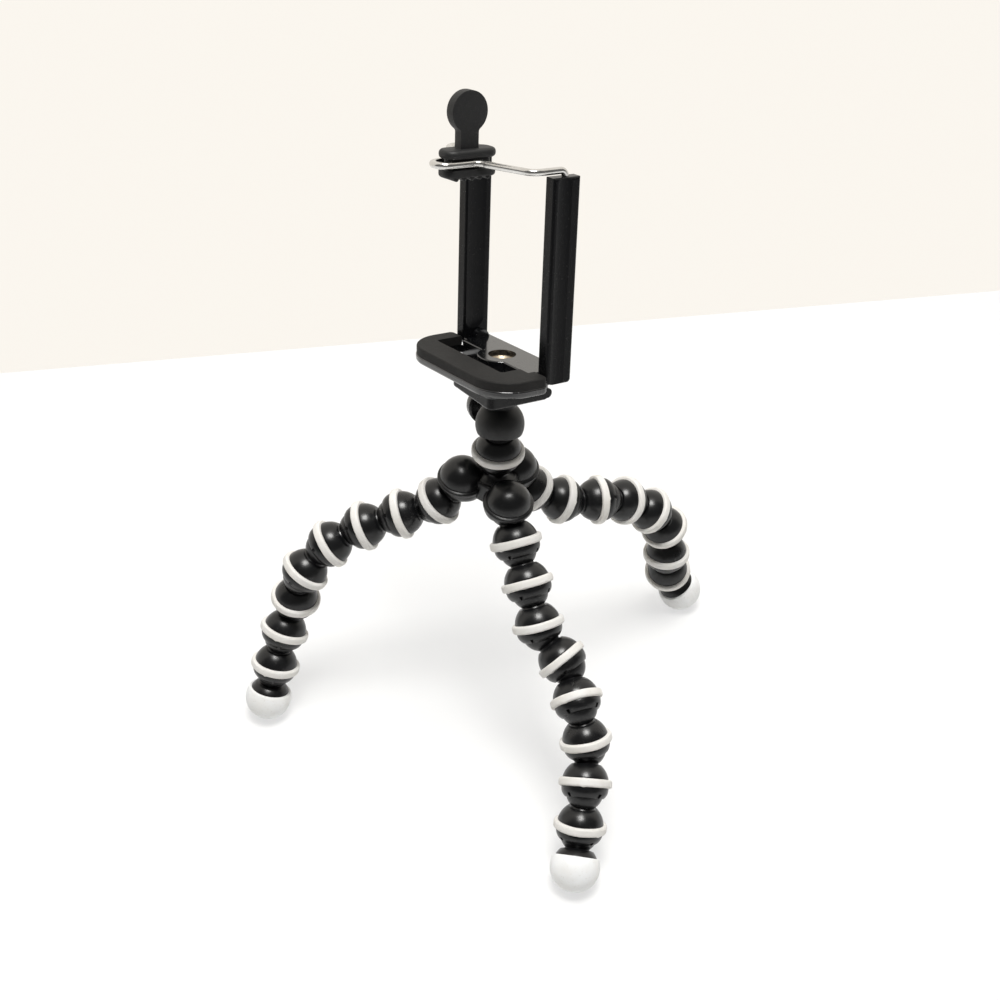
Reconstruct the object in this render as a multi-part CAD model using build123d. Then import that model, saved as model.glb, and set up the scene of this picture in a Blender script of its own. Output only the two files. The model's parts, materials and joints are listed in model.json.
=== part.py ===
from build123d import *
import math
import os

# Ball and socket joint, the same size at every leg link, at the hub and under the head
ball_radius = 5.6
ball_flat_height = 4.9
running_gap = 0.05
link_pitch = 12.85
neck_radius = 3.5
shoulder_drop = 4.75
socket_mouth_drop = 1.6

# Shell of a link: dome, ring groove and socket skirt
dome_radius = 7.0
dome_above_socket = 2.6
ring_width = 2.5
ring_seat_radius = 6.4
ring_outer_radius = 7.95
ring_edge_round = 0.8
skirt_radius = 6.9
skirt_mouth_radius = 6.5
skirt_chamfer = 0.4
skirt_slot_width = 1.0
skirt_slot_depth = 2.1
skirt_slot_count = 4

# Foot link and its rubber cap
foot_drop = 9.6
foot_dome_radius = 6.9
foot_core_radius = 6.35
cap_radius = 7.45
cap_rim_height = 3.0
cap_contact_depth = 0.2

# Hub: three sockets on a circle, webs between them and a ball on top
hub_radius = 10.0
hub_height = 85.3
hub_turn = -12
hub_socket_tilt = 12
hub_lean = 5
hub_rim_radius = 7.6
hub_rim_width = 1.5
hub_groove_radius = 6.7
hub_groove_width = 0.7
hub_web_top = 5.4
hub_web_drop = 1.4
hub_ball_height = 11.8
hub_neck_base_radius = 5.6
hub_neck_shoulder = 6.9

# The lean of the hub and of the head link is towards this heading
lean_heading = 54.6
head_lean = 3

# Pose of the legs: slope from straight down and heading of each link, hub to foot
leg_poses = {
    "right": (
        (38, 43, 38, 57, 59, 32, 52, 35, 54),
        (-12, -12, -12, 12, -18, -12, -41, -48, -45),
    ),
    "left": (
        (46, 71, 68, 60, 40, 15, 31, 24, 25),
        (-130, -125, -125, -116, -107, -140, -81, -75, -70),
    ),
    "rear": (
        (34, 61, 78, 60, 49, 29, 4, 24, 30),
        (83, 69, 72, 91, 76, 93, 60, 124, 62),
    ),
}
leg_search_steps = 40

# Ball housing of the head, with its seat and the boss for the lock screw
housing_radius = 7.25
housing_mouth_drop = 3.0
housing_mouth_radius = 5.75
housing_neck_radius = 4.6
housing_crown = 0.75
seat_radius = 6.2
seat_thickness = 1.8
washer_thickness = 0.8
washer_inset = 0.3
lock_boss_radius = 3.2
lock_boss_reach = 9.0
lock_turn = 19

# Lock knob and its screw
lock_screw_radius = 1.9
knob_radius = 5.75
knob_thickness = 4.0
knob_start = 13.8
knob_collar_radius = 3.0
knob_collar_start = 10.6
knob_edge_round = 0.7
lock_screw_seat = 3.0
lock_screw_gap = 0.15

# Screw that holds the clip, drawn at the root of its thread
stud_radius = 2.65
stud_head_radius = 4.2
stud_head_thickness = 2.0
stud_head_cover = 1.25
stud_engagement = 3.5
stud_side_count = 6

# Pose of the clip: its right side is up and its rear is down
clip_rise = 12.2
clip_nod = 10.6

# Clip tray, seen from above: x along the phone, y from front to rear, z up from the plateau
tray_half_length = 24.5
tray_front = 18.8
tray_corner = 11.0
tray_rim_thickness = 2.2
tray_rim_round = 1.0
tray_rear_corner = 1.5
post_side_gap = 0.3
plateau_half_length = 18.2
plateau_rear = 7.7
plateau_front = 3.8
plateau_step_front = 2.6
plateau_step_inset = 1.6
boss_radius = 7.2
hull_inset = 1.4
hull_front = 15.3
hull_rear = 5.2
hull_corner = 1.8
hull_depth = 6.0
well_depth = 3.0
pocket_inset = 0.6
pocket_right = 5.2
pocket_rear = 2.0
pocket_depth = 5.0
edge_round = 0.4

# Rubber pad on the tray
pad_inset = 0.2
pad_rise = 0.4
pad_seat_depth = 2.2
pad_inner_left = 19.0
pad_inner_front = 10.2
pad_inner_right = 14.5
pad_inner_corner = 1.0
pad_fit_gap = 0.1
pad_edge_round = 0.5

# Brass insert in the boss
insert_radius = 4.3
insert_bore_radius = 2.7
insert_recess_radius = 4.05
insert_recess_depth = 1.6
insert_length = 6.4

# Bottom cover and its screws
cover_left = 3.0
cover_shallow_depth = 7.6
cover_deep_depth = 9.5
cover_seat_depth = 9.0
cover_floor = 1.4
cover_wall = 1.5
cover_edge_round = 0.7
cover_roll_rear = 4.3
cover_notch_length = 1.9
cover_notch_height = 0.6
cover_notch_depth = 1.2
cover_notch_front = 2.1
cover_boss_radius = 6.3
cover_stud_hole_radius = 3.4
cover_screw_boss_radius = 2.3
cover_screw_radius = 0.9
cover_screw_head_radius = 1.7
cover_screw_head_depth = 0.9
cover_screw_head_level = 7.7
cover_screw_bite = 1.2
cover_screw_right = 13.4
cover_screw_left = 3.0
cover_screw_front = 12.2
cover_screw_rear = 2.4

# Posts that fold on pins at the tray's rear
post_thickness = 4.2
post_front = 1.0
post_depth = 8.7
hinge_rear = 3.95
post_height = 54.2
post_drop = 2.95
post_front_round = 2.9
post_rear_round = 1.2
post_edge_round = 0.8
post_inner_channel_front = 0.4
post_inner_channel_width = 6.4
post_outer_channel_front = 1.3
post_outer_channel_width = 4.6
post_channel_depth = 0.35
post_channel_start = 2.4
ear_radius = 2.3
ear_length = 2.3
pin_radius = 0.9
pin_reach = 3.5

# Sprung wire bail that runs in the posts
wire_radius = 0.95
bail_above_post = 1.6
bail_bend_radius = 1.7
bail_corner_front = 6.4
bail_corner_radius = 3.0
bail_kink_front = 11.7
bail_loop_half_width = 3.2
bail_loop_front = 23.5
bail_loop_radius = 3.0
bail_leg_start = 10.0
spring_bore_radius = 1.35
spring_bore_start = 8.0
post_cap_thickness = 2.0
ferrule_length = 2.0
spring_wall = 0.3

# Rubber grip on the bail, with its finger tab
grip_half_width = 3.7
grip_front = 21.4
grip_rear = 5.3
grip_end_round = 3.1
grip_waist_half_width = 2.2
grip_waist_height = 2.4
grip_waist_inset = 1.2
grip_upper_thickness = 2.5
grip_lower_thickness = 2.5
grip_edge_round = 0.9
grip_rib_radius = 0.7
grip_rib_count = 5
tab_centre_front = 13.6
tab_stem_width = 5.6
tab_stem_half_thickness = 1.4
tab_disc_radius = 5.5
tab_disc_rise = 13.2
tab_disc_half_thickness = 1.5
tab_edge_round = 0.7

# One overrun serves every cut
overrun = 1.0


# A round bar or bore from one height to another
def bar(radius, start, end):
    return Pos(0, 0, start) * Cylinder(radius, end - start, align=(Align.CENTER, Align.CENTER, Align.MIN))


def block(x_range, y_range, z_range):
    ranges = (x_range, y_range, z_range)
    middles = [(low + high) / 2 for low, high in ranges]
    return Pos(*middles) * Box(*[high - low for low, high in ranges])


def rectangle(x_range, y_range):
    middles = [(low + high) / 2 for low, high in (x_range, y_range)]
    return Pos(*middles) * Rectangle(x_range[1] - x_range[0], y_range[1] - y_range[0])


def plate(plan, z_range):
    return Pos(0, 0, z_range[0]) * extrude(plan, z_range[1] - z_range[0])


def circle_point(radius, centre, height):
    return (math.sqrt(max(radius**2 - (height - centre) ** 2, 0)), height)


# An arc of a circle whose centre is on the axis of a turned profile
def round_edge(radius, centre, start, end):
    ends = [circle_point(radius, centre, height) for height in (start, end)]
    angle = sum(math.atan2(height - centre, across) for across, height in ends) / 2
    middle = (radius * math.cos(angle), centre + radius * math.sin(angle))
    return ThreePointArc(ends[0], middle, ends[1])


def turned(edges):
    return revolve(Plane.XZ * make_face(edges), Axis.Z)


# Edges of the ball and neck, from the axis down to the shoulder
def ball_edges():
    flat = circle_point(ball_radius, 0, ball_flat_height)
    neck_top = -math.sqrt(ball_radius**2 - neck_radius**2)
    return [
        Line((0, ball_flat_height), flat),
        round_edge(ball_radius, 0, ball_flat_height, neck_top),
        Line((neck_radius, neck_top), (neck_radius, -shoulder_drop)),
    ]


# Edges of the skirt and socket around a ball centre at the given height, down from the groove
def socket_edges(centre, skirt_top):
    mouth = centre - socket_mouth_drop
    opening = circle_point(ball_radius + running_gap, centre, mouth)
    apex = centre + ball_radius + running_gap
    return [
        Line((skirt_radius, skirt_top), (skirt_mouth_radius, mouth + skirt_chamfer)),
        Line((skirt_mouth_radius, mouth + skirt_chamfer), (skirt_mouth_radius - skirt_chamfer, mouth)),
        Line((skirt_mouth_radius - skirt_chamfer, mouth), opening),
        round_edge(ball_radius + running_gap, centre, mouth, apex),
    ]


def make_link():
    socket = -link_pitch
    ring_centre = socket + dome_above_socket
    ring_top = ring_centre + ring_width / 2
    ring_bottom = ring_centre - ring_width / 2
    edges = ball_edges()
    edges += [
        Line((neck_radius, -shoulder_drop), circle_point(dome_radius, ring_centre, -shoulder_drop)),
        round_edge(dome_radius, ring_centre, -shoulder_drop, ring_top),
        Line(circle_point(dome_radius, ring_centre, ring_top), (ring_seat_radius, ring_top)),
        Line((ring_seat_radius, ring_top), (ring_seat_radius, ring_bottom)),
        Line((ring_seat_radius, ring_bottom), (skirt_radius, ring_bottom)),
    ]
    edges += socket_edges(socket, ring_bottom)
    edges += [Line((0, socket + ball_radius + running_gap), (0, ball_flat_height))]
    slot = block(
        (-skirt_slot_width / 2, skirt_slot_width / 2),
        (0, skirt_radius + overrun),
        (socket - socket_mouth_drop, socket - socket_mouth_drop + skirt_slot_depth),
    )
    slots = [Rot(0, 0, 360 * n / skirt_slot_count) * slot for n in range(skirt_slot_count)]
    keep = Pos(0, 0, socket) * Sphere(ball_radius + running_gap)
    return turned(edges) - [part - keep for part in slots]


def make_ring():
    centre = dome_above_socket - link_pitch
    band = Pos((ring_seat_radius + ring_outer_radius) / 2, centre) * Rectangle(
        ring_outer_radius - ring_seat_radius, ring_width
    )
    band = fillet(band.vertices().group_by(Axis.X)[-1], ring_edge_round)
    return revolve(Plane.XZ * band, Axis.Z)


def make_foot():
    centre = -foot_drop
    rim = centre + cap_rim_height
    edges = ball_edges()
    edges += [
        Line((neck_radius, -shoulder_drop), circle_point(foot_dome_radius, centre, -shoulder_drop)),
        round_edge(foot_dome_radius, centre, -shoulder_drop, rim),
        Line(circle_point(foot_dome_radius, centre, rim), circle_point(foot_core_radius, centre, rim)),
        round_edge(foot_core_radius, centre, rim, centre - foot_core_radius),
        Line((0, centre - foot_core_radius), (0, ball_flat_height)),
    ]
    return turned(edges)


def make_cap():
    centre = -foot_drop
    rim = centre + cap_rim_height
    edges = [
        Line(circle_point(foot_core_radius, centre, rim), circle_point(cap_radius, centre, rim)),
        round_edge(cap_radius, centre, rim, centre - cap_radius),
        Line((0, centre - cap_radius), (0, centre - foot_core_radius)),
        round_edge(foot_core_radius, centre, centre - foot_core_radius, rim),
    ]
    return turned(edges)


# Unit vector at a slope from straight down, towards a heading
def downward(slope, heading):
    slope = math.radians(slope)
    heading = math.radians(heading)
    return Vector(
        math.sin(slope) * math.cos(heading),
        math.sin(slope) * math.sin(heading),
        -math.cos(slope),
    )


# Frame of a piece whose axis runs down along a direction
def axis_plane(origin, down, heading):
    heading = math.radians(heading)
    side = Vector(-math.sin(heading), math.cos(heading), 0)
    return Plane(origin=origin, x_dir=side, z_dir=down * -1)


# Hub frame, its three sockets and its ball
hub_plane = axis_plane(Vector(0, 0, hub_height), downward(-hub_lean, lean_heading), lean_heading)
hub_plane = Plane(hub_plane.location * Rot(0, 0, -lean_heading - 90))
hub_up = hub_plane.z_dir
leg_names = list(leg_poses)
socket_headings = {name: heading + hub_turn for name, heading in zip(leg_names, (0, -120, 120))}


def socket_place(heading):
    return Rot(0, 0, heading) * Pos(hub_radius, 0, 0) * Rot(0, -hub_socket_tilt, 0)


def hub_socket(name):
    return hub_plane.from_local_coords((Vector(hub_radius, 0, 0).rotate(Axis.Z, socket_headings[name])))


hub_ball = hub_plane.from_local_coords(Vector(0, 0, hub_ball_height))
head_down = downward(-head_lean, lean_heading)
head_ball = hub_ball - head_down * link_pitch


# A leg starts at its hub socket, and its slopes share one factor that sets the foot on the floor
def foot_height(name, share):
    slopes = leg_poses[name][0]
    drops = [link_pitch] * (len(slopes) - 1) + [foot_drop]
    falls = [drop * math.cos(math.radians(slope * share)) for drop, slope in zip(drops, slopes)]
    return hub_socket(name).Z - sum(falls)


def lean_share(name):
    low, high = 0.5, 1.5
    for step in range(leg_search_steps):
        middle = (low + high) / 2
        if foot_height(name, middle) > cap_radius - cap_contact_depth:
            high = middle
        else:
            low = middle
    return (low + high) / 2


def leg_places(name):
    share = lean_share(name)
    origin = hub_socket(name)
    places = []
    for slope, heading in zip(*leg_poses[name]):
        down = downward(slope * share, heading)
        places.append((origin, down, axis_plane(origin, down, heading)))
        origin = origin + down * link_pitch
    return places


legs = {name: leg_places(name) for name in leg_names}


def make_hub():
    ring_centre = dome_above_socket
    rim_top = ring_centre + hub_rim_width / 2
    rim_bottom = ring_centre - hub_rim_width / 2
    groove_top = rim_top + hub_groove_width
    apex = ring_centre + dome_radius
    edges = [
        round_edge(dome_radius, ring_centre, apex, groove_top),
        Line(circle_point(dome_radius, ring_centre, groove_top), (hub_groove_radius, groove_top)),
        Line((hub_groove_radius, groove_top), (hub_groove_radius, rim_top)),
        Line((hub_groove_radius, rim_top), (hub_rim_radius, rim_top)),
        Line((hub_rim_radius, rim_top), (hub_rim_radius, rim_bottom)),
        Line((hub_rim_radius, rim_bottom), (skirt_radius, rim_bottom)),
    ]
    edges += socket_edges(0, rim_bottom)
    edges += [Line((0, ball_radius + running_gap), (0, apex))]
    lobe = turned(edges)
    places = [socket_place(socket_headings[name]) for name in leg_names]
    corners = [Vector(hub_radius, 0, 0).rotate(Axis.Z, socket_headings[name]) for name in leg_names]
    web = extrude(make_face(Polyline(*corners, close=True)), hub_web_top + hub_web_drop)
    body = Pos(0, 0, -hub_web_drop) * web
    for place in places:
        body = body - place * (Sphere(ball_radius + running_gap))
    for place in places:
        body = body - place * bar(skirt_radius, -hub_web_drop - dome_above_socket, -socket_mouth_drop)
        body = body + place * lobe
    neck_top = hub_ball_height - math.sqrt(ball_radius**2 - neck_radius**2)
    neck_edges = [
        Line((0, 0), (hub_neck_base_radius, 0)),
        Line((hub_neck_base_radius, 0), (hub_neck_base_radius, hub_web_top)),
        Line((hub_neck_base_radius, hub_web_top), (neck_radius, hub_neck_shoulder)),
        Line((neck_radius, hub_neck_shoulder), (neck_radius, neck_top)),
        round_edge(ball_radius, hub_ball_height, neck_top, hub_ball_height + ball_flat_height),
        Line(
            circle_point(ball_radius, hub_ball_height, hub_ball_height + ball_flat_height),
            (0, hub_ball_height + ball_flat_height),
        ),
        Line((0, hub_ball_height + ball_flat_height), (0, 0)),
    ]
    column = turned(neck_edges)
    for place in places:
        column = column - place * Sphere(ball_radius + running_gap)
    return body + column


# Heights of the head's stack over the ball centre
stud_head_bottom = ball_radius + running_gap + housing_crown
stud_head_top = stud_head_bottom + stud_head_thickness
seat_bottom = stud_head_top + stud_head_cover
washer_bottom = seat_bottom + seat_thickness
washer_top = washer_bottom + washer_thickness
clip_height = washer_top + running_gap + cover_seat_depth
insert_bottom = clip_height - insert_recess_depth - insert_length
stud_tip = insert_bottom + stud_engagement

# Clip frame: x along the phone, z along the posts, origin on the plateau over the insert
rise = math.radians(clip_rise)
nod = math.radians(clip_nod)
clip_x = Vector(math.cos(rise), 0, math.sin(rise))
clip_y = Vector(math.sin(nod) * math.sin(rise), math.cos(nod), -math.sin(nod) * math.cos(rise))
clip_z = clip_x.cross(clip_y)
clip_plane = Plane(origin=head_ball + clip_z * clip_height, x_dir=clip_x, z_dir=clip_z)
housing_plane = Plane(origin=head_ball, x_dir=clip_x, z_dir=clip_z)
lock_axis = Rot(0, 0, 180 - lock_turn) * Rot(0, 90, 0)

def top_edges(part):
    return part.edges().group_by(Axis.Z)[-1]


def bottom_edges(part):
    return part.edges().group_by(Axis.Z)[0]


def make_housing():
    neck_bottom = math.sqrt(housing_radius**2 - housing_neck_radius**2)
    socket_radius = ball_radius + running_gap
    mouth = (housing_mouth_radius, -housing_mouth_drop)
    edges = [
        Line(mouth, circle_point(housing_radius, 0, -housing_mouth_drop)),
        round_edge(housing_radius, 0, -housing_mouth_drop, neck_bottom),
        Line((housing_neck_radius, neck_bottom), (housing_neck_radius, seat_bottom)),
        Line((housing_neck_radius, seat_bottom), (seat_radius, seat_bottom)),
        Line((seat_radius, seat_bottom), (seat_radius, washer_bottom)),
        Line((seat_radius, washer_bottom), (0, washer_bottom)),
        Line((0, washer_bottom), (0, socket_radius)),
        round_edge(socket_radius, 0, socket_radius, -socket_mouth_drop),
        Line(circle_point(socket_radius, 0, -socket_mouth_drop), mouth),
    ]
    boss = lock_axis * bar(lock_boss_radius, 0, lock_boss_reach) - Sphere(socket_radius)
    hole = lock_axis * bar(lock_screw_radius + running_gap, 0, lock_boss_reach + overrun)
    return turned(edges) + boss - hole - make_stud()


def make_stud():
    plan = RegularPolygon(stud_head_radius, stud_side_count)
    return plate(plan, (stud_head_bottom, stud_head_top)) + bar(stud_radius, stud_head_bottom, stud_tip)


def make_washer():
    radius = seat_radius - washer_inset
    return bar(radius, washer_bottom, washer_top) - bar(stud_radius + running_gap, washer_bottom, washer_top)


def make_lock_screw():
    return lock_axis * bar(lock_screw_radius, ball_radius + lock_screw_gap, knob_start + lock_screw_seat)


def make_knob():
    disc = bar(knob_radius, knob_start, knob_start + knob_thickness)
    disc = fillet(top_edges(disc) + bottom_edges(disc), knob_edge_round)
    knob = disc + bar(knob_collar_radius, knob_collar_start, knob_start + knob_edge_round)
    return lock_axis * (knob - bar(lock_screw_radius, 0, knob_start + lock_screw_seat))


# Levels of the clip, down from the plateau, and the ends of its pieces
rim_bottom = -pad_seat_depth - tray_rim_thickness
cover_top = -hull_depth
post_inner = plateau_half_length + post_side_gap
tray_rear = -post_front - post_side_gap
hull_half_length = plateau_half_length - hull_inset
cover_roll_radius = (cover_seat_depth - hull_depth) / 2 - running_gap
plateau_step_left = plateau_half_length - plateau_step_inset
wire_x = post_inner + post_thickness / 2
bail_height = post_height + bail_above_post


def mirrored(part):
    return mirror(part, Plane.YZ)


def hull_plan(left):
    plan = rectangle((-left, hull_half_length), (-hull_front, hull_rear))
    return fillet(plan.vertices(), hull_corner)


def rim_plan(inset):
    half = tray_half_length - inset
    plan = rectangle((-half, half), (inset - tray_front, tray_rear - inset * pad_fit_gap))
    plan = fillet(plan.vertices().group_by(Axis.Y)[0], tray_corner - inset)
    return fillet(plan.vertices().group_by(Axis.Y)[-1], tray_rear_corner)


def plateau_plan():
    rear = rectangle((-plateau_half_length, plateau_half_length), (tray_rear, plateau_rear))
    step = rectangle((-plateau_step_left, 0), (-plateau_step_front, plateau_rear))
    side = rectangle((0, plateau_half_length), (-plateau_front, plateau_rear))
    return rear + step + side + Circle(boss_radius)


def cover_screw_places():
    return [
        Pos(cover_screw_right, -cover_screw_front, 0),
        Pos(cover_screw_right, cover_screw_rear, 0),
        Pos(cover_screw_left, -cover_screw_front, 0),
    ]


def pin_axis(start, end):
    return Pos(0, hinge_rear, 0) * Rot(0, 90, 0) * bar(pin_radius, start, end)


def make_tray():
    rim = plate(rim_plan(0), (rim_bottom, -pad_seat_depth))
    rim = fillet(top_edges(rim), edge_round)
    rim = fillet(bottom_edges(rim), tray_rim_round)
    rear_x = (-plateau_half_length, plateau_half_length)
    rear = block(rear_x, (-plateau_front, plateau_rear), (rim_bottom, -pad_seat_depth))
    rise_plate = plate(plateau_plan(), (rim_bottom, 0))
    rise_plate = fillet(top_edges(rise_plate), edge_round)
    hull = plate(hull_plan(hull_half_length), (cover_top, -pad_seat_depth - edge_round))
    hull = fillet(top_edges(hull), edge_round) + bar(cover_boss_radius, cover_top, -pad_seat_depth)
    ear_x = plateau_half_length - ear_length
    ear = Pos(ear_x, hinge_rear, 0) * Rot(0, 90, 0) * bar(ear_radius, 0, ear_length)
    tray = rim + rear + hull
    well_x = (-pad_inner_left, pad_inner_right)
    tray = tray - block(well_x, (-pad_inner_front, -plateau_step_front), (-well_depth, overrun))
    pocket_x = (pocket_inset - pad_inner_left, -pocket_right)
    pocket_y = (pocket_inset - pad_inner_front, -pocket_rear)
    tray = tray - block(pocket_x, pocket_y, (-pocket_depth, 0))
    tray = tray + rise_plate + ear + mirrored(ear)
    insert_bore = bar(insert_radius, cover_top - overrun, -insert_recess_depth)
    tray = tray - insert_bore - bar(insert_recess_radius, -insert_recess_depth - overrun, overrun)
    for place in cover_screw_places():
        tray = tray - place * bar(cover_screw_radius, cover_top, cover_top + cover_screw_bite)
    pin = pin_axis(plateau_half_length - ear_length, plateau_half_length)
    return tray - pin - mirrored(pin)


def make_pins():
    pin = pin_axis(plateau_half_length - ear_length, post_inner + pin_reach)
    return [pin, mirrored(pin)]


# A slab under the seam whose bottom slopes down to the right
def sloping_slab(floor):
    profile = Polyline(
        (-cover_left, cover_top),
        (hull_half_length, cover_top),
        (hull_half_length, floor - cover_deep_depth),
        (-cover_left, floor - cover_shallow_depth),
        close=True,
    )
    slab = extrude(Plane.XZ * make_face(profile), hull_front + hull_rear)
    return Pos(0, hull_rear, 0) * slab


def make_cover():
    plan = hull_plan(cover_left)
    levels = (-cover_deep_depth, cover_top)
    cover = plate(plan, levels) & sloping_slab(0)
    cover = fillet(cover.faces().sort_by(Axis.Z)[0].edges(), cover_edge_round)
    roll = Rot(0, 90, 0) * bar(cover_roll_radius, 0, cover_left + hull_half_length - hull_corner)
    cover = cover + Pos(hull_corner - cover_left, cover_roll_rear, cover_top - cover_roll_radius) * roll
    notch_x = (hull_half_length - cover_notch_depth, hull_half_length + overrun)
    notch_y = (cover_notch_front, cover_notch_front + cover_notch_length)
    cover = cover - block(notch_x, notch_y, (cover_top - cover_notch_height, cover_top + overrun))
    inside = plate(offset(plan, -cover_wall), levels) & sloping_slab(cover_floor)
    for place in cover_screw_places():
        inside = inside - place * bar(cover_screw_boss_radius, *levels)
    boss = bar(cover_boss_radius, -cover_seat_depth, cover_top)
    cover = cover - inside + boss - bar(cover_stud_hole_radius, *levels)
    cover = cover - bar(insert_radius, insert_bottom - clip_height, cover_top)
    counterbore = bar(cover_screw_head_radius + running_gap, -cover_deep_depth, -cover_screw_head_level)
    for place in cover_screw_places():
        cover = cover - place * counterbore
    return cover - make_cover_screws()


def make_cover_screws():
    start = -cover_screw_head_level
    head = bar(cover_screw_head_radius, start, start + cover_screw_head_depth)
    screw = head + bar(cover_screw_radius, start, cover_top + cover_screw_bite)
    return [place * screw for place in cover_screw_places()]


def make_insert():
    start = insert_bottom - clip_height
    return bar(insert_radius, start, -insert_recess_depth) - bar(insert_bore_radius, start, 0)


def make_pad():
    pad = plate(rim_plan(pad_inset), (-pad_seat_depth, pad_rise))
    pad = fillet(top_edges(pad), pad_edge_round)
    opening = rectangle((-pad_inner_left, pad_inner_right), (-pad_inner_front, overrun))
    opening = fillet(opening.vertices().group_by(Axis.Y)[0], pad_inner_corner)
    reach = plateau_half_length + pad_fit_gap
    front = -plateau_front - pad_fit_gap
    opening = opening + rectangle((0, reach), (front, overrun)) + Circle(boss_radius + pad_fit_gap)
    return pad - plate(opening, (-pad_seat_depth, pad_rise + overrun))


# The cutter of a shallow round channel in a face that looks towards -X
def channel(front, width, start):
    half = width / 2
    curve = (half**2 + post_channel_depth**2) / (post_channel_depth * 2)
    cutter = bar(curve, start + half, post_height + overrun) + Pos(0, 0, start + half) * Sphere(curve)
    return Pos(post_channel_depth - curve, front - post_front + half, 0) * cutter


def make_post():
    profile = rectangle((-post_front, post_depth - post_front), (-post_drop, post_height))
    corners = profile.vertices().group_by(Axis.Y)[0].sort_by(Axis.X)
    profile = fillet(corners[0], post_front_round)
    corners = profile.vertices().group_by(Axis.Y)[0].sort_by(Axis.X)
    profile = fillet(corners[-1], post_rear_round)
    post = Pos(post_inner, 0, 0) * extrude(Plane.YZ * profile, post_thickness)
    sides = post.edges().group_by(Axis.X)
    post = fillet(sides[0] + sides[-1], post_edge_round)
    inner = channel(post_inner_channel_front, post_inner_channel_width, post_channel_start)
    outer = channel(post_outer_channel_front, post_outer_channel_width, -post_height)
    post = post - Pos(post_inner, 0, 0) * inner
    post = post - Pos(post_inner + post_thickness, 0, 0) * mirrored(outer)
    leg = Pos(wire_x, hinge_rear, 0)
    post = post - leg * bar(spring_bore_radius, spring_bore_start, post_height - post_cap_thickness)
    post = post - leg * bar(wire_radius + running_gap, spring_bore_start, post_height + overrun)
    pin_hole = bar(pin_radius + running_gap, 0, post_inner + pin_reach + running_gap)
    return post - Pos(0, hinge_rear, 0) * Rot(0, 90, 0) * pin_hole


# A wire path with a round bend at each inner point
def bent_path(points, radii):
    edges = []
    start = points[0]
    for corner, after, radius in zip(points[1:-1], points[2:], radii):
        back = (start - corner).normalized()
        ahead = (after - corner).normalized()
        half = math.radians(back.get_angle(ahead)) / 2
        reach = radius / math.tan(half)
        inward = (back + ahead).normalized()
        middle = corner + inward * (radius / math.sin(half) - radius)
        edges.append(Line(start, corner + back * reach))
        edges.append(ThreePointArc(corner + back * reach, middle, corner + ahead * reach))
        start = corner + ahead * reach
    edges.append(Line(start, points[-1]))
    return Wire(edges)


def make_bail():
    half = [
        Vector(wire_x, hinge_rear, bail_leg_start),
        Vector(wire_x, hinge_rear, bail_height),
        Vector(wire_x, -bail_corner_front, bail_height),
        Vector(bail_loop_half_width, -bail_kink_front, bail_height),
        Vector(bail_loop_half_width, -bail_loop_front, bail_height),
    ]
    other = [Vector(-point.X, point.Y, point.Z) for point in reversed(half)]
    radii = [bail_bend_radius, bail_corner_radius, bail_corner_radius, bail_loop_radius]
    path = bent_path(half + other, radii + radii[::-1])
    return sweep(Plane(half[0]) * Circle(wire_radius), path=path)


def make_ferrule():
    end = bail_leg_start + ferrule_length
    ring = bar(spring_bore_radius - running_gap, bail_leg_start, end) - bar(wire_radius, bail_leg_start, end)
    return Pos(wire_x, hinge_rear, 0) * ring


def make_spring():
    start = bail_leg_start + ferrule_length
    end = post_height - post_cap_thickness
    outer = spring_bore_radius - running_gap
    return Pos(wire_x, hinge_rear, 0) * (bar(outer, start, end) - bar(outer - spring_wall, start, end))


def grip_plan(half_width, inset, corner):
    plan = rectangle((-half_width, half_width), (inset - grip_front, -inset - grip_rear))
    return fillet(plan.vertices(), corner)


def make_grip():
    waist_top = bail_height + grip_waist_height / 2
    waist_bottom = bail_height - grip_waist_height / 2
    flange_plan = grip_plan(grip_half_width, 0, grip_end_round)
    upper = plate(flange_plan, (waist_top, waist_top + grip_upper_thickness))
    upper = fillet(top_edges(upper), grip_edge_round)
    lower = plate(flange_plan, (waist_bottom - grip_lower_thickness, waist_bottom))
    waist_plan = grip_plan(grip_waist_half_width, grip_waist_inset, grip_waist_half_width - pad_fit_gap)
    grip = upper + lower + plate(waist_plan, (waist_bottom, waist_top))
    rib_bottom = waist_bottom - grip_lower_thickness
    rib_pitch = (grip_front - grip_rear - grip_end_round) / grip_rib_count
    rib_half = grip_half_width - grip_rib_radius
    for n in range(grip_rib_count):
        y = -grip_rear - grip_end_round - rib_pitch * n
        grip = grip + Pos(-rib_half, y, rib_bottom) * Rot(0, 90, 0) * bar(grip_rib_radius, 0, rib_half * 2)
    disc = Rot(0, 90, 0) * bar(tab_disc_radius, -tab_disc_half_thickness, tab_disc_half_thickness)
    disc = fillet(disc.edges().filter_by(GeomType.CIRCLE), tab_edge_round)
    centre = bail_height + tab_disc_rise
    half = tab_stem_width / 2
    stem_x = (-tab_stem_half_thickness, tab_stem_half_thickness)
    stem = block(stem_x, (-tab_centre_front - half, half - tab_centre_front), (waist_top, centre))
    stem = fillet(stem.edges().filter_by(Axis.Z), tab_edge_round)
    return grip + stem + Pos(0, -tab_centre_front, centre) * disc


# Every node with its solids, in the frame of the hub over the floor
nodes = {"hub_body": [hub_plane * make_hub()]}
link = make_link()
ring = make_ring()
foot = make_foot()
cap = make_cap()
floor_cut = block((-hub_height, hub_height), (-hub_height, hub_height), (-hub_height, 0))
for name, places in legs.items():
    for number, (origin, down, plane) in enumerate(places, start=1):
        if number < len(places):
            nodes[f"{name}_link_{number}"] = [plane * link, plane * ring]
        else:
            nodes[f"{name}_foot_link"] = [plane * foot]
            nodes[f"{name}_foot_cap"] = [plane * cap - Pos(origin.X, origin.Y, 0) * floor_cut]

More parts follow.
